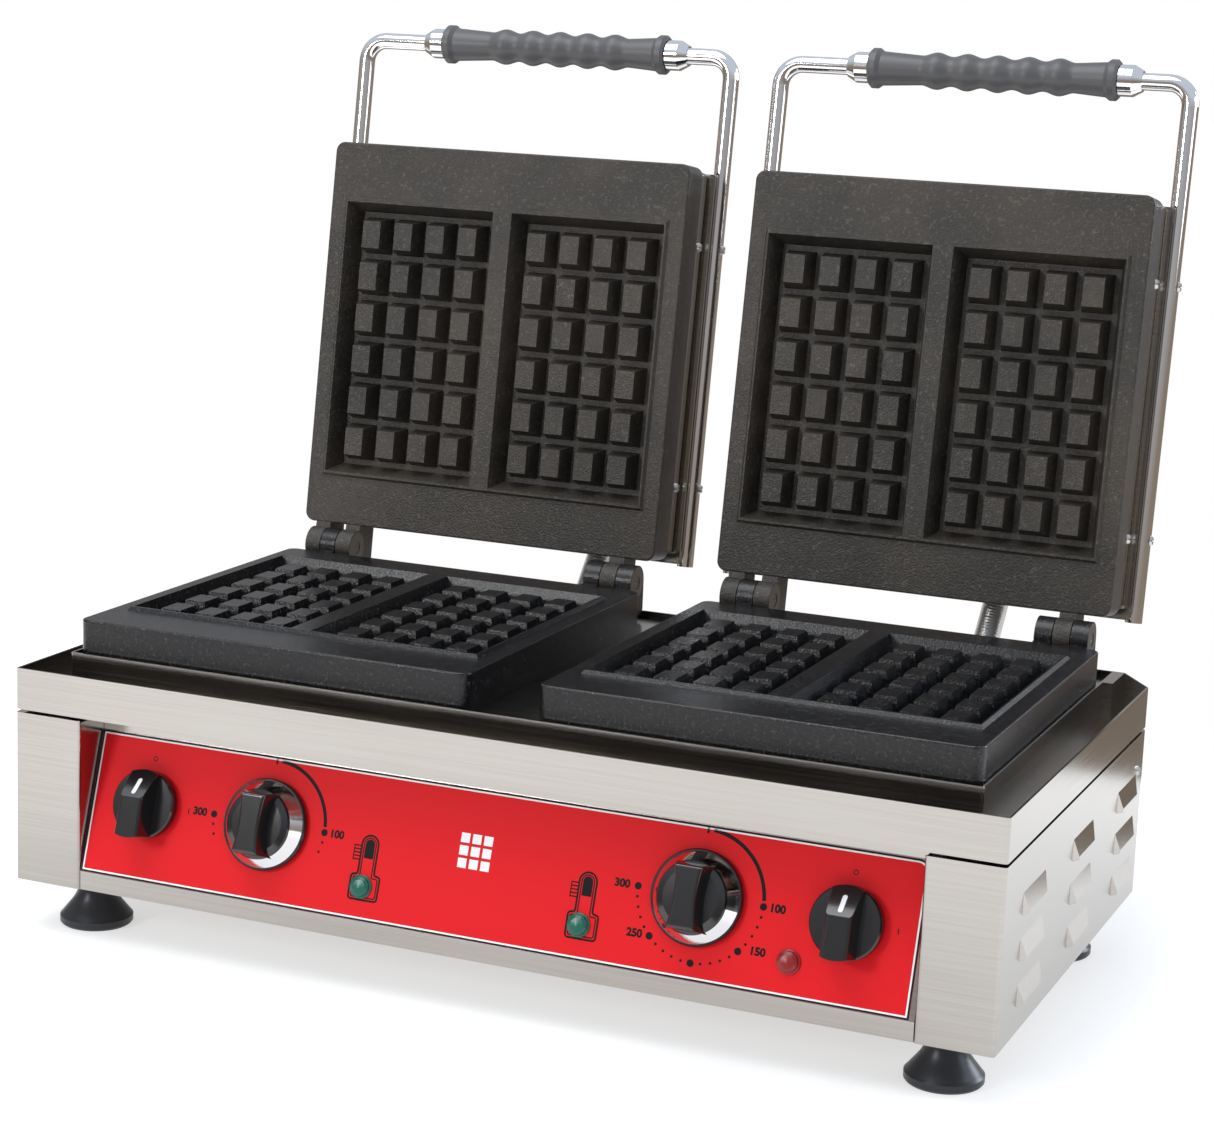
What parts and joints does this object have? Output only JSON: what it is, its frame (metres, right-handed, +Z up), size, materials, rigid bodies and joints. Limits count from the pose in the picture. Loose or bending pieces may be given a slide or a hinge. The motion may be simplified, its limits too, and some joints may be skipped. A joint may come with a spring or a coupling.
{
  "type": "double waffle maker",
  "caption": "Countertop double waffle maker: two hinged cast plate pairs on a stainless base with a leaning control panel, open lids and tube handles.",
  "frame": {"origin": "on the table, under the middle of the bounding box with both lids open", "axes": "+Z up, +X to the user's right, the user stands at -Y"},
  "size_m": [0.5712, 0.3982, 0.5018],
  "materials": {
    "cast_iron": "seasoned, rough cast",
    "plain_steel": "plain",
    "stainless": "brushed",
    "film": "satin printed film",
    "rubber": "matte",
    "black_plastic": "matte",
    "green_lens": "moulded lens",
    "red_lens": "moulded lens",
    "ceramic": "unglazed",
    "insulation": "pressed mineral board",
    "chrome": "polished",
    "grip": "moulded",
    "knob": "moulded, glossy"
  },
  "bodies": {
    "base": {"lower_plate_left": "cast_iron", "lower_plate_right": "cast_iron", "hinge_pins": "plain_steel", "lower_heater_left": "plain_steel", "lower_heater_right": "plain_steel", "lower_clamp_plates": "plain_steel", "top_tray": "stainless", "side_panel_left": "stainless", "side_panel_right": "stainless", "front_panel": "stainless", "panel_film": "film", "rear_panel": "stainless", "bottom_plate": "stainless", "foot_front_left": "rubber", "foot_front_right": "rubber", "foot_rear_left": "rubber", "foot_rear_right": "rubber", "foot_screws": "plain_steel", "body_screws": "plain_steel", "thermostat_body_left": "black_plastic", "thermostat_body_right": "black_plastic", "switch_bodies": "black_plastic", "pilot_lamp_left": "green_lens", "pilot_lamp_right": "green_lens", "power_lamp": "red_lens", "terminal_block": "ceramic", "cable_gland": "black_plastic", "conduit_left": "plain_steel", "conduit_right": "plain_steel", "conduit_nuts": "plain_steel"},
    "lid_left": {"upper_plate_left": "cast_iron", "upper_heater_left": "plain_steel", "lid_skirt_left": "stainless", "lid_seal_left": "insulation", "lid_carrier_left": "stainless", "lid_cover_left": "stainless", "handle_frame_left": "chrome", "lid_screws_left": "plain_steel", "ferrules_left": "chrome"},
    "lid_right": {"upper_plate_right": "cast_iron", "upper_heater_right": "plain_steel", "lid_skirt_right": "stainless", "lid_seal_right": "insulation", "lid_carrier_right": "stainless", "lid_cover_right": "stainless", "handle_frame_right": "chrome", "lid_screws_right": "plain_steel", "ferrules_right": "chrome"},
    "grip_left": {"grip_left": "grip"},
    "grip_right": {"grip_right": "grip"},
    "thermostat_knob_left": {"thermostat_knob_left": "knob", "knob_ring_left": "chrome"},
    "thermostat_knob_right": {"thermostat_knob_right": "knob", "knob_ring_right": "chrome"},
    "switch_knob_left": {"switch_knob_left": "knob"},
    "switch_knob_right": {"switch_knob_right": "knob"}
  },
  "joints": [
    {"name": "lid_hinge_left", "type": "hinge", "parent": "base", "child": "lid_left", "pos_m": [-0.1402, 0.0941, 0.177], "axis": [1, 0, 0], "range_deg": [0, 97.9]},
    {"name": "lid_hinge_right", "type": "hinge", "parent": "base", "child": "lid_right", "pos_m": [0.1402, 0.0941, 0.177], "axis": [1, 0, 0], "range_deg": [0, 98.9]},
    {"name": "grip_spin_left", "type": "hinge", "parent": "lid_left", "child": "grip_left", "pos_m": [-0.1332, 0.18169, 0.48985], "axis": [1, 0, 0], "continuous": true},
    {"name": "grip_spin_right", "type": "hinge", "parent": "lid_right", "child": "grip_right", "pos_m": [0.1472, 0.18714, 0.48828], "axis": [1, 0, 0], "continuous": true},
    {"name": "thermostat_turn_left", "type": "hinge", "parent": "base", "child": "thermostat_knob_left", "pos_m": [-0.1305, -0.17368, 0.07955], "axis": [0, 0.9541, -0.2993], "range_deg": [0, 270]},
    {"name": "thermostat_turn_right", "type": "hinge", "parent": "base", "child": "thermostat_knob_right", "pos_m": [0.1205, -0.17368, 0.07955], "axis": [0, 0.9541, -0.2993], "range_deg": [0, 270]},
    {"name": "switch_turn_left", "type": "hinge", "parent": "base", "child": "switch_knob_left", "pos_m": [-0.2055, -0.17368, 0.07955], "axis": [0, 0.9541, -0.2993], "range_deg": [0, 90]},
    {"name": "switch_turn_right", "type": "hinge", "parent": "base", "child": "switch_knob_right", "pos_m": [0.201, -0.17368, 0.07955], "axis": [0, 0.9541, -0.2993], "range_deg": [0, 90]}
  ]
}
